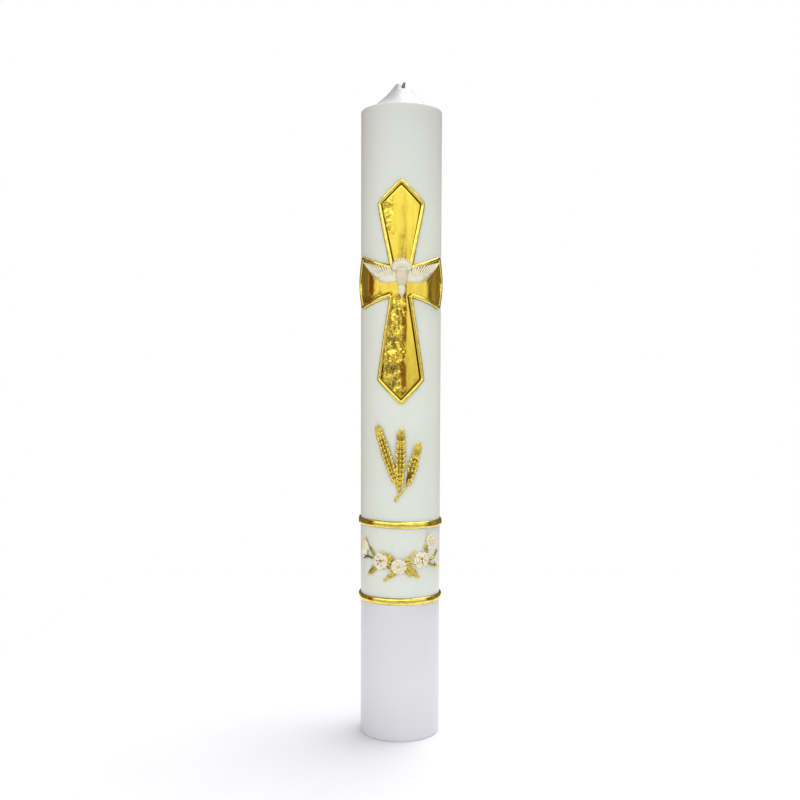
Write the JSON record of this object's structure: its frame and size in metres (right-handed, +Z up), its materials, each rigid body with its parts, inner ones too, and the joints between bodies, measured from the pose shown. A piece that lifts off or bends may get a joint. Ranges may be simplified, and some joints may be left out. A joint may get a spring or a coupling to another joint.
{
  "type": "pillar candle",
  "caption": "Tall white pillar candle with two gold bands and wax ornaments: a gold cross with a dove, ears of wheat and a flower garland.",
  "frame": {"origin": "middle of the foot, on the surface the candle stands on", "axes": "+Z up along the candle, -Y towards the front with the ornaments, +X to the right seen from the front"},
  "size_m": [0.0526, 0.0541, 0.4074],
  "materials": {
    "core_wax": "matt pressed wax",
    "coat_wax": "smooth satin dipped wax",
    "cotton": "waxed braided cotton",
    "gold_foil": "mirror-like gold foil on wax, creased",
    "gold_strip": "polished gold-faced wax strip",
    "gold_cast": "gold-painted cast wax",
    "pearl_wax": "pearl-cream cast wax",
    "petal_wax": "glossy cream cast wax with peach tints"
  },
  "bodies": {
    "root": {"blossom_centre": "petal_wax", "blossom_far_right": "petal_wax", "cross_border_bottom": "gold_strip", "cross_border_left": "gold_strip", "cross_border_right": "gold_strip", "cross_border_top": "gold_strip", "cross_field": "gold_foil", "dove": "pearl_wax", "flower_bud_far_left": "petal_wax", "leaf_centre_left": "gold_cast", "leaf_centre_right": "gold_cast", "leaf_far_left": "gold_cast", "leaf_low_left": "gold_cast", "leaf_small_right": "gold_cast", "leaf_tall": "gold_cast", "leaf_upper_left": "gold_cast", "lower_band": "gold_strip", "overdip_coat": "coat_wax", "rose_left": "petal_wax", "rose_right": "petal_wax", "sprig_beaded_left": "gold_cast", "sprig_curled_right": "gold_cast", "stem_curved_right": "gold_cast", "twig_far_right": "gold_cast", "twig_fork_left": "gold_cast", "upper_band": "gold_strip", "wax_core": "core_wax", "wheat_ear_left": "gold_cast", "wheat_ear_middle": "gold_cast", "wheat_ear_right": "gold_cast", "wick": "cotton"}
  },
  "joints": []
}
